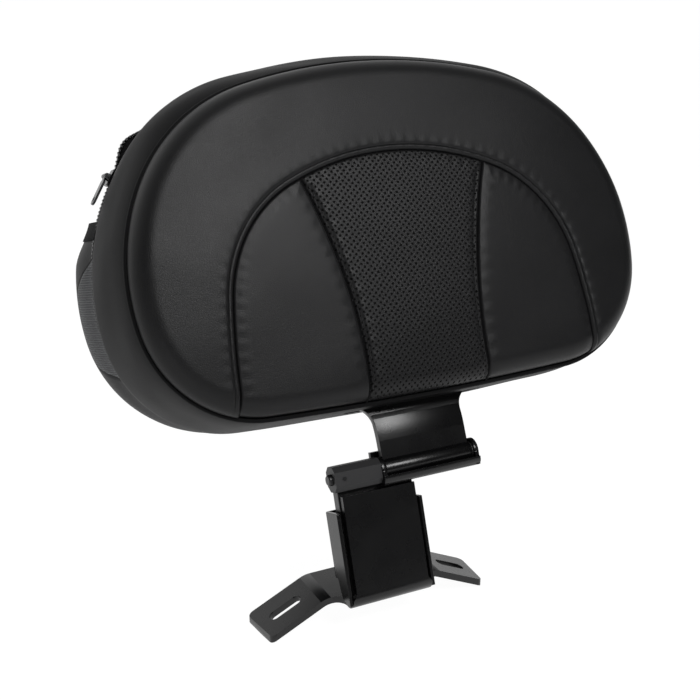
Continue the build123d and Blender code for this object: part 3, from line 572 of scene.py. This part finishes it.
# Centre panel: leather punched with 1.2 mm holes in a diamond grid, 3.3 mm apart.
# The grid lies in the cushion's own front plane.
hole_pitch = 0.0033
centre_columns = 71
perforated, tree, shader, place, grain = grain_leather("perforated_leather", "#151516", 0.42)
in_plane = add(
    tree, "ShaderNodeMapping", {"Rotation": (front_lean - pi / 2, 0, 0)}, {"Vector": (place, "Object")}
)
diamonds = add(
    tree, "ShaderNodeMapping",
    {"Rotation": (0, 0, radians(45)), "Scale": (1 / hole_pitch, 1 / hole_pitch, 0.0)},
    {"Vector": (in_plane, "Vector")},
)
cell = add(tree, "ShaderNodeVectorMath", links={0: (diamonds, "Vector")}, operation="FRACTION")
centred = add(
    tree, "ShaderNodeVectorMath", {1: (0.5, 0.5, 0.0)}, {0: (cell, "Vector")}, operation="SUBTRACT"
)
reach = add(tree, "ShaderNodeVectorMath", links={0: (centred, "Vector")}, operation="LENGTH")
hole = add(
    tree, "ShaderNodeMapRange", {"From Min": 0.22, "From Max": 0.15}, {"Value": (reach, "Value")}
)
punched = add(
    tree, "ShaderNodeMix", {6: srgb("#161617"), 7: srgb("#010101")}, {0: (hole, "Result")},
    data_type="RGBA",
)
tree.links.new(punched.outputs[2], shader.inputs["Base Color"])
matt = add(
    tree, "ShaderNodeMapRange", {"To Min": 0.42, "To Max": 1.0}, {"Value": (hole, "Result")}
)
tree.links.new(matt.outputs["Result"], shader.inputs["Roughness"])
dished = add(
    tree, "ShaderNodeMapRange", {"From Min": 0.3, "From Max": 0.14}, {"Value": (reach, "Value")}
)
sunk = bump_from(tree, shader, dished, "Result", 0.0012, invert=True)
tree.links.new(grain.outputs["Normal"], sunk.inputs["Normal"])
bottom_centre = rims(np.linspace(divider_foot, 1, 41))
bottom_centre = np.vstack([bottom_centre * mirror, bottom_centre[::-1][1:]])
bottom_centre = even(bottom_centre, centre_columns)
arch_over = np.vstack([arch_half[:split + 1][::-1] * mirror, arch_half[1:split + 1]])
arch_over = even(arch_over, centre_columns)
centre_flat = patch(divider_rise * mirror, divider_rise, bottom_centre, arch_over)
centre_flat = resample(resample(centre_flat, 1, bunched(81)), 0, bunched(131, 0.6))
rows, columns = centre_flat.shape[:2]
points = cover(centre_flat.reshape(-1, 2))
centre_panel = mesh_piece(
    "perforated_panel", points, sheet_faces(rows, columns), perforated, leather_wall
)
finish(centre_panel, ("centre_panel",))


# Seam shade: a near-black cord is sunk in each seam of the front and closes its crease.
# Its dark colour is painted shade, the dark line along each crease.
def tube(name, line, up, radius, material, sides, closed=False):
    """A round cord along a line of places, closed into a ring or capped at its ends."""
    count = len(line)
    run = np.roll(line, -1, 0) - np.roll(line, 1, 0)
    if not closed:
        run[0], run[-1] = line[1] - line[0], line[-1] - line[-2]
    run /= np.linalg.norm(run, axis=1)[:, None]
    side = np.cross(run, up)
    side /= np.linalg.norm(side, axis=1)[:, None]
    lift = np.cross(side, run)
    angles = 2 * pi * np.arange(sides) / sides
    rings = line[:, None] + radius * (
        np.cos(angles)[None, :, None] * side[:, None] + np.sin(angles)[None, :, None] * lift[:, None]
    )
    points = rings.reshape(-1, 3)
    faces = sheet_faces(count, sides, closed=True)
    if closed:
        faces += [
            ((count - 1) * sides + k, (count - 1) * sides + (k + 1) % sides, (k + 1) % sides, k)
            for k in range(sides)
        ]
    else:
        faces.append(tuple(range(sides))[::-1])
        faces.append(tuple((count - 1) * sides + k for k in range(sides)))
    return mesh_piece(name, points, faces, material)


# Seam cords: near-black, sunk in the creases as painted shade.
seam_shade_radius = 0.001
seam_shade_lift = -0.1
seam_shade_sides = 8
# Near-black leather for the welt; on the seam cords the same near-black is painted shade of the creases.
welt_and_seam_shade_leather = grain_leather("welt_and_seam_shade_leather", "#070708", 0.6, 0.1)[0]
for name, line, count in (
    ("arch_seam_shade", arch_line, 300),
    ("right_seam_shade", divider, 100),
    ("left_seam_shade", divider * mirror, 100),
):
    places = cover(even(line, count), seam_shade_lift)
    seam_shade_cord = tube(name, places, front_out, seam_shade_radius, welt_and_seam_shade_leather, seam_shade_sides)
    finish(seam_shade_cord)

# Front topstitching: black bonded thread, a stitch every 3.6 mm, beside the arch and dividers.
# Each stitch is pulled down into the leather at both ends.
thread, tree, shader, place = start_material("bonded_thread", "#060607", 0.7)
twist = add(tree, "ShaderNodeTexNoise", {"Scale": 1500.0}, {"Vector": (place, "Object")})
bump_from(tree, shader, twist, "Fac", 0.00004)
stitch_pitch = 3.6
stitch_length = 2.7
stitch_radius = 0.00045
stitch_sink = 0.0004
stitch_sides = 6
tied_off = 20
front_lift = 0.15


def stitches(name, lines, up):
    """Rows of stitches along lines of places, each a bead that dips at its ends."""
    points, faces = [], []
    for line in lines:
        steps = np.r_[0, np.cumsum(np.linalg.norm(np.diff(line, axis=0), axis=1))] * 1000
        for start in np.arange(0, steps[-1] - stitch_length, stitch_pitch):
            at = start + stitch_length * np.array((0.0, 0.25, 0.75, 1.0))
            middle = np.c_[[np.interp(at, steps, line[:, axis]) for axis in range(3)]].T
            run = (middle[-1] - middle[0]) / np.linalg.norm(middle[-1] - middle[0])
            side = np.cross(run, up)
            side /= np.linalg.norm(side)
            lift = np.cross(side, run)
            base = len(points)
            for place, width, sink in zip(middle, (0.5, 1.0, 1.0, 0.5), (-1, 0, 0, -1)):
                for k in range(stitch_sides):
                    arm = cos(2 * pi * k / stitch_sides) * side + sin(2 * pi * k / stitch_sides) * lift
                    points.append(place + stitch_radius * width * arm + sink * stitch_sink * lift)
            for ring in range(3):
                for k in range(stitch_sides):
                    a = base + ring * stitch_sides + k
                    b = base + ring * stitch_sides + (k + 1) % stitch_sides
                    faces.append((a, b, b + stitch_sides, a + stitch_sides))
            faces.append(tuple(base + k for k in range(stitch_sides))[::-1])
            faces.append(tuple(base + 3 * stitch_sides + k for k in range(stitch_sides)))
    finish(mesh_piece(name, points, faces, thread))


front_stitches = [cover(line[tied_off:-tied_off], front_lift) for line in stitch_rows]
stitches("front_topstitch", front_stitches, front_out)

# Welt: a leather covered cord, sewn in between the front cover and the boxing band.
# It lies in the valley between the two, so little more than its crest shows.
welt_growth = 0.5
welt_radius = 0.0019
welt_lift = -0.2
welt_sides = 12
welt_line = on_front(rims(np.linspace(-1, 1, 401)[:-1], welt_growth), welt_lift)
welt = tube("edge_welt", welt_line, front_out, welt_radius, welt_and_seam_shade_leather, welt_sides, closed=True)
finish(welt, ("front_welt",))

# Boxing band: the strip of leather round the sides, from the welt to the rear panel.
# It bulges between its seams, most at the upper corners, and is slit at the bottom, where the
# neck plate goes in.
back_growth = 10.0
corner_run = 150.0
corner_width = 58.0
corner_rise = 5.0
slot_half = 55.0
slot_low, slot_high = 0.275, 0.405
band_front = -1.4
band_swell = 2.4
swell_run = 0.35
band_pinch = 1.2
pinch_start, pinch_run = 0.55, 0.45
ripple_rise = 0.3
band_wall = 0.0016
band_shares = np.linspace(-1, 1, 341)[:-1]
slot_share = foot_share(slot_half)
for mark in (slot_share, -slot_share):
    band_shares[np.argmin(np.abs(band_shares - mark))] = mark
band_steps = np.sort(np.r_[0, 0.012, 0.03, np.linspace(0.06, 1, 25), slot_low, slot_high])
inner, outer, outward = rims(band_shares), rims(band_shares, back_growth), rims(band_shares, 1.0)
outward = outward - inner
bow_way = outward[:, :1] * across + outward[:, 1:] * front_up
first, last = on_front(inner, band_front) * 1000, on_back(outer, 0.0) * 1000
band_rows = []
for t in band_steps:
    swell = band_swell * (1 - (1 - min(t / swell_run, 1)) ** 2) ** 0.5
    swell -= band_pinch * (1 + np.clip((t - pinch_start) / pinch_run, 0, 1) ** 2)
    ripple = ripple_rise * np.sin(band_shares * 41 + 4 * t) * sin(pi * t)
    corner = np.exp(-((np.abs(band_shares) * half_round - corner_run) / corner_width) ** 2)
    ripple += corner_rise * corner * (1 - abs(2 * t - 1) ** 2.5)
    band_rows.append(first * (1 - t) + last * t + (swell + ripple)[:, None] * bow_way)
band = np.array(band_rows) / 1000
columns = len(band_shares)
faces = []
for face in sheet_faces(len(band_steps), columns, closed=True, flip=True):
    i, j = divmod(min(face), columns)
    middle = (band_shares[j] + np.r_[band_shares, 1][j + 1]) / 2
    height = (band_steps[i] + band_steps[i + 1]) / 2
    if j == 0 and max(face) % columns == columns - 1:
        middle = 1.0
    if not (abs(middle) > slot_share and slot_low < height < slot_high):
        faces.append(face)
side_leather = grain_leather("side_leather", "#121213", 0.55, 0.13)[0]
boxing = mesh_piece("side_band", band.reshape(-1, 3), faces, side_leather, band_wall)
finish(boxing, ("boxing_band",))


# Rear panel: a flat leather panel sewn to the boxing band, which the pouch is sewn on to.
# It closes the cushion over the rear foam, and only a narrow border of it shows.
def closed_piece(name, rows, material, thickness):
    """A piece from closed rows of places."""
    grid = np.array(rows)
    faces = sheet_faces(grid.shape[0], grid.shape[1], closed=True)
    return mesh_piece(name, grid.reshape(-1, 3), faces, material, thickness)


rear_wall = 0.0012
loop = np.linspace(-1, 1, 301)[:-1]
rear_edge = ((10.0, -0.3), (9.9, 0.7), (9.0, 1.6), (7.0, 2.0), (4.0, 2.0))
rear_rows = [on_back(rims(loop, grow), depth) for grow, depth in rear_edge]
rear = closed_piece("rear_cover", rear_rows, leather, rear_wall)
finish(rear, ("back_panel", "rear_foam"))

# Pouch: a shallow leather bag over the whole rear panel, closed by a zip round its side wall.
# Its back sags a little, and its full side wall pushes the zip out above the slider.
pouch_growth = 8.0
bulge_run = 172.0
bulge_width = 13.0
bulge_rise = 6.5
bulge_depth = 11.0
bulge_reach = 6.0
pouch_edge = 4.0
pouch_face = 22.0
pouch_sag = 2.2
sag_run = 25.0
pouch_wave = 0.6
pouch_rings = 30
thread_lift = 0.35


def bulge(shares, depth):
    """How far the pouch's side wall is pushed out at shares of the outline, at one depth."""
    off = (np.abs(shares) * half_round - bulge_run) / bulge_width
    return bulge_rise * np.exp(-off ** 2) * np.exp(-((depth - bulge_depth) / bulge_reach) ** 2)


pouch_wall = [(pouch_growth, 2.0), (8.3, 5.0), (8.4, 10.0), (8.3, 14.0), (8.0, 18.0)]
for turn in (20, 40, 60, 75, 90):
    reach = pouch_edge + pouch_edge * cos(radians(turn))
    pouch_wall.append((reach, pouch_face - pouch_edge + pouch_edge * sin(radians(turn))))
loop_outward = rims(loop, 1.0) - rims(loop)
rows = []
for grow, depth in pouch_wall:
    rows.append(on_back(rims(loop, grow) + bulge(loop, depth)[:, None] * loop_outward, depth))
inner = rims(loop, pouch_edge)
hub = np.array((0.0, -10.0))
for step in range(1, pouch_rings + 1):
    shrink = 1 - step / pouch_rings
    flat = hub + (inner - hub) * shrink
    swell = pouch_sag * (1 - np.exp(-nearest(flat, inner)[0] / sag_run))
    swell = swell + pouch_wave * np.sin(flat[:, 0] / 26 + flat[:, 1] / 60) * (1 - shrink)
    rows.append(on_back(flat, pouch_face + swell))
pouch_leather = grain_leather("pouch_leather", "#131314", 0.55, 0.2)[0]
pouch = closed_piece("pouch_shell", rows, pouch_leather, leather_wall)
finish(pouch, ("pouch_body",))
edge_stitch = rims(np.linspace(-1, 1, 1201), 1.0)
stitches("pouch_topstitch", [on_back(edge_stitch, pouch_face + thread_lift)], back_out)

# Zip tape: black woven polyester, 14 mm wide, sewn along the pouch's side wall.
# It follows the bulge, and its threads are drawn 2 mm apart, coarser than real.
weave, tree, shader, place = start_material("woven_polyester", "#0d0d0e", 0.85, Specular_IOR_Level=0.15)
warp = add(
    tree, "ShaderNodeTexWave", {"Scale": 160.0, "Distortion": 0.4}, {"Vector": (place, "Object")},
    bands_direction="X",
)
weft = add(
    tree, "ShaderNodeTexWave", {"Scale": 160.0, "Distortion": 0.4}, {"Vector": (place, "Object")},
    bands_direction="Z",
)
woven = add(tree, "ShaderNodeMath", links={0: (warp, "Fac"), 1: (weft, "Fac")}, operation="MULTIPLY")
bump_from(tree, shader, woven, "Value", 0.0002)
tape_growth = 8.9
tape_half = 7.0
tape_wall = 0.0006
tape_rows, tape_columns = 9, 301
zip_centre = 10.0
zip_end_height = -39.0
zip_shares = np.linspace(0, 1, 2001)
zip_limit = zip_shares[np.argmin(np.abs(rims(zip_shares, pouch_growth)[:, 1] - zip_end_height))]
tape_shares = np.linspace(-zip_limit, zip_limit, tape_columns)
tape_spread = rims(tape_shares, 1.0) - rims(tape_shares)
rows = []
for depth in np.linspace(zip_centre - tape_half, zip_centre + tape_half, tape_rows):
    flat = rims(tape_shares, tape_growth) + bulge(tape_shares, depth)[:, None] * tape_spread
    rows.append(on_back(flat, depth))
faces = sheet_faces(tape_rows, tape_columns)
tape = mesh_piece("zip_tape_cloth", np.vstack(rows), faces, weave, tape_wall)
finish(tape, ("zip_tape",))

# Zip teeth: two rows of moulded acetal teeth that mesh along the middle of the tape.
# One tooth is modelled and copied along both rows, 2.6 mm apart.
acetal, tree, shader, place = start_material("moulded_acetal", "#111112", 0.33)
flow = add(tree, "ShaderNodeTexNoise", {"Scale": 800.0}, {"Vector": (place, "Object")})
bump_from(tree, shader, flow, "Fac", 0.00002)
tooth_size = (0.0014, 0.0033, 0.0016)
bpy.ops.mesh.primitive_cube_add(size=1)
tooth = bpy.context.object
tooth.scale = tooth_size
bpy.ops.object.transform_apply(location=True, rotation=True, scale=True)
crown_bevel = tooth.modifiers.new("crown", "BEVEL")
crown_bevel.width = 0.0003
crown_bevel.segments = 1
bpy.ops.object.modifier_apply(modifier="crown")
tooth_pitch = 2.6
tooth_growth = 9.6
row_gap = 1.1
tooth_count = int(2 * zip_limit * half_round / tooth_pitch)
copies = []
for i in range(tooth_count):
    for row, side in ((0, -1), (1, 1)):
        at = -zip_limit + 2 * zip_limit * (i + 0.5 * row) / tooth_count
        grow = tooth_growth + bulge(at, zip_centre)
        spot, proud = rims((at,), grow), rims((at,), grow + 1)
        ahead = rims((at + 1e-4,), grow + bulge(at + 1e-4, zip_centre) - bulge(at, zip_centre))
        centre = on_back(spot, zip_centre + row_gap * side)[0]
        up = Vector(on_back(proud, 0)[0] - on_back(spot, 0)[0]).normalized()
        along = Vector(on_back(ahead, 0)[0] - on_back(spot, 0)[0]).normalized()
        turn = Matrix((along, Vector(back_out), up)).transposed().to_4x4()
        copy = tooth.data.copy()
        copy.transform(Matrix.Translation(centre) @ turn)
        copies.append(copy)
bpy.data.objects.remove(tooth)
points, faces = [], []
for copy in copies:
    base = len(points)
    points += [tuple(v.co) for v in copy.vertices]
    faces += [[base + n for n in f.vertices] for f in copy.polygons]
zip_teeth = mesh_piece("zip_teeth", points, faces, acetal)
bpy.ops.object.shade_smooth_by_angle(angle=radians(30))
finish(zip_teeth, ("zip_chain",))

# Zip slider and pull: die-cast zinc in black enamel, thin and glossy.
# The pull swings on the slider's bridge.
enamel = coat_steel("black_enamel_zinc", "#161618", 0.25, 0.00001)
dress(("zip_slider", "zip_pull"), enamel, edge=0.0002)

# Open pocket: a deep leather bag over the lower pouch, sewn on at the rear panel's edge.
# Its back swells, and its mouth is drawn in towards the pouch.
pocket_top = 34.0
pocket_growth = 14.0
pocket_face = 48.0
skirt = [(9.6, 2.4), (9.9, 6.0), (10.7, 11.0), (11.9, 16.0), (13.1, 21.0), (13.8, 26.0), (14.1, 31.0)]
skirt += [(14.0, 36.0), (13.8, 40.0)]
edge_growth, edge_reach = 6.0, 7.8
edge_start, edge_rise = 40.0, 8.0
edge_step = 18
turned_edge = []
for turn in range(edge_step, 91, edge_step):
    reach = edge_growth + edge_reach * cos(radians(turn))
    turned_edge.append((reach, edge_start + edge_rise * sin(radians(turn))))
skirt_start = skirt[0][1]
draw_start = 4.0
draw_growth = 9.2
draw_share = 0.8
flat_share = 0.3
bag_swell = 4.5
bag_fold = 0.8
back_steps = 40


def drawn_in(v):
    """How far the bag is drawn in at a height: 0 low down, 1 at its mouth."""
    share = np.clip((v - draw_start) / (pocket_top - draw_start), 0, 1)
    return share * share * (3 - 2 * share)


def bag_wall(grow, depth, v):
    """Growth and depth of a point of the bag's wall, drawn in near the mouth."""
    pull = drawn_in(v)
    depth = skirt_start + (depth - skirt_start) * (1 - flat_share * pull)
    return grow - (grow - draw_growth) * draw_share * pull, depth


def bag_face(flat, from_edge):
    """Depth of the bag's back at points that lie from_edge millimetres inside its edge."""
    x, v = flat[:, 0], flat[:, 1]
    pull = drawn_in(v)
    swell = bag_swell * (1 - np.exp(-from_edge / 30.0)) * (1 + 0.5 * pull)
    fold = bag_fold * np.sin(x / 27.0 + 0.8 * np.sin(v / 31.0)) * np.clip(from_edge / 25, 0, 1)
    return skirt_start + (pocket_face - skirt_start) * (1 - flat_share * pull) + swell + fold


height_shares = np.linspace(0.2, 0.99, 1200)
heights = rims(height_shares, pocket_growth)[:, 1]
mesh_top, mesh_bottom = 16.0, -78.0
top_slant, bottom_slant = 0.75, 0.35
straight_wall = 40.0
mouth_points, gusset_points, bottom_points = 13, 29, 52


def share_at(v):
    """Share of the outline's half where the bag's wall passes a height."""
    return np.interp(-v, -heights, height_shares)


def bag_run(depth):
    """Shares along one row of the bag: mouth, gusset, bottom, gusset, mouth."""
    top = share_at(mesh_top - top_slant * min(depth, straight_wall))
    low = share_at(mesh_bottom + bottom_slant * min(depth, straight_wall))
    half = np.r_[
        np.linspace(share_at(pocket_top), top, mouth_points)[:-1],
        np.linspace(top, low, gusset_points)[:-1],
        np.linspace(low, 1.0, bottom_points),
    ]
    return np.r_[half, -half[::-1][1:]]


gusset_first = mouth_points - 1
gusset_last = gusset_first + gusset_points - 1
rows = []
for grow, depth in skirt + turned_edge:
    row = []
    for share in bag_run(depth):
        wall_grow, wall_depth = bag_wall(grow, depth, rim(share, pocket_growth)[1])
        flat = rim(share, wall_grow)[None]
        flat[0, 1] = min(flat[0, 1], pocket_top)
        row.append(on_back(flat, wall_depth)[0])
    rows.append(row)
run = bag_run(pocket_face)
brim = []
for share in run:
    wall_grow = bag_wall(edge_growth, pocket_face, rim(share, pocket_growth)[1])[0]
    x, v = rim(share, wall_grow)
    brim.append((x, min(v, pocket_top)))
brim = np.array(brim)
mouth = np.c_[np.linspace(brim[0, 0], brim[-1, 0], len(run)), np.full(len(run), pocket_top)]
brim_dense = even(brim, 2400)
for step in range(1, back_steps + 1):
    flat = brim * (1 - step / back_steps) + mouth * (step / back_steps)
    rows.append(on_back(flat, bag_face(flat, nearest(flat, brim_dense)[0])))
bag = np.array(rows)
columns = len(run)
bag_faces = {"bag": [], "right": [], "left": []}
for face in sheet_faces(len(rows), columns):
    i, j = divmod(min(face), columns)
    part = "bag"
    if i < len(skirt) - 1:
        if gusset_first <= j < gusset_last:
            part = "right"
        elif columns - 1 - gusset_last <= j < columns - 1 - gusset_first:
            part = "left"
    bag_faces[part].append(face)


def bag_part(name, part, material, thickness):
    """The faces of one part of the bag as a piece of their own."""
    used = sorted({n for face in bag_faces[part] for n in face})
    number = {n: i for i, n in enumerate(used)}
    faces = [[number[n] for n in face] for face in bag_faces[part]]
    return mesh_piece(name, bag.reshape(-1, 3)[used], faces, material, thickness)


pocket = bag_part("pocket_bag", "bag", pouch_leather, leather_wall)
finish(pocket, ("lower_pocket",))
bag_half_width = 190.0
stitch_inset = 5.0
stitch_drop = 14.0
stitch_lift = 0.25
inner_brim = even(brim, 1200)[40:-40]
stitch_line = inner_brim * (1 - stitch_inset / bag_half_width)
stitch_line[:, 1] = np.minimum(stitch_line[:, 1], pocket_top - stitch_drop)
stitch_depth = bag_face(stitch_line, nearest(stitch_line, brim_dense)[0]) + stitch_lift
stitches("pocket_topstitch", [on_back(stitch_line, stitch_depth)], back_out)

# Gussets: grey polyester mesh let into both sides of the pocket, so that it can stretch.
# The mesh has round holes, drawn 1.7 mm apart, and is 1 mm thick.
net_wall = 0.001
net, tree, shader, place = start_material("polyester_mesh", "#5f6164", 0.8, Sheen_Weight=0.2)
turned_in = add(
    tree, "ShaderNodeMapping", {"Rotation": (rear_lean, 0, 0), "Scale": (0.0, 600.0, 600.0)},
    {"Vector": (place, "Object")},
)
opening = add(tree, "ShaderNodeVectorMath", links={0: (turned_in, "Vector")}, operation="FRACTION")
off_centre = add(
    tree, "ShaderNodeVectorMath", {1: (0.0, 0.5, 0.5)}, {0: (opening, "Vector")}, operation="SUBTRACT"
)
gap = add(tree, "ShaderNodeVectorMath", links={0: (off_centre, "Vector")}, operation="LENGTH")
open_hole = add(tree, "ShaderNodeMapRange", {"From Min": 0.5, "From Max": 0.34}, {"Value": (gap, "Value")})
netting = add(
    tree, "ShaderNodeMix", {6: srgb("#5f6164"), 7: srgb("#1c1d1f")}, {0: (open_hole, "Result")},
    data_type="RGBA",
)
tree.links.new(netting.outputs[2], shader.inputs["Base Color"])
bump_from(tree, shader, open_hole, "Result", 0.0004, invert=True)
for side in ("left", "right"):
    gusset = bag_part(f"{side}_gusset", side, net, net_wall)
    finish(gusset, (f"mesh_gusset_{side}",))

# Pocket hem: 12 mm webbing folded over the edge of the pocket's mouth and sewn down.
# It follows the bag's wall and back, just outside them.
hem_height = 12.0
hem_proud = 0.9
hem_lip = 0.6
hem_wall = 0.0011
hem_steps = 6
hem_columns = 60
hem_rows = []
for drop in np.linspace(0, hem_height, hem_steps):
    level = pocket_top + hem_lip - drop
    path = []
    wall = skirt[1:] + turned_edge
    for i, (grow, depth) in enumerate(wall):
        wall_grow, wall_depth = bag_wall(grow, depth, level)
        lean = 0.0 if i < len(skirt) - 1 else radians((i - len(skirt) + 2) * edge_step)
        share = np.interp(-level, -rims(height_shares, wall_grow)[:, 1], height_shares)
        x = rim(share, wall_grow)[0] + hem_proud * cos(lean)
        path.append((x, wall_depth + hem_proud * sin(lean)))
    face_x = np.linspace(path[-1][0], 0, hem_columns)[1:]
    face_flat = np.c_[face_x, np.full(len(face_x), level)]
    face_depth = bag_face(face_flat, nearest(face_flat, brim_dense)[0]) + hem_proud
    path += list(zip(face_x, face_depth))
    right = on_back(np.array([(x, level) for x, _ in path]), np.array([b for _, b in path]))
    other = np.array([(-x, level) for x, _ in path[::-1][1:]])
    other_depth = [b for _, b in path[:len(wall)]][::-1]
    mirrored_flat = other[:len(face_x) - 1]
    mirrored_depth = bag_face(mirrored_flat, nearest(mirrored_flat, brim_dense)[0]) + hem_proud
    left = on_back(other, np.r_[mirrored_depth, other_depth])
    hem_rows.append(np.vstack([right, left]))
grid = np.array(hem_rows)
faces = sheet_faces(grid.shape[0], grid.shape[1], flip=True)
hem = mesh_piece("pocket_binding", grid.reshape(-1, 3), faces, weave, hem_wall)
finish(hem, ("pocket_hem",))
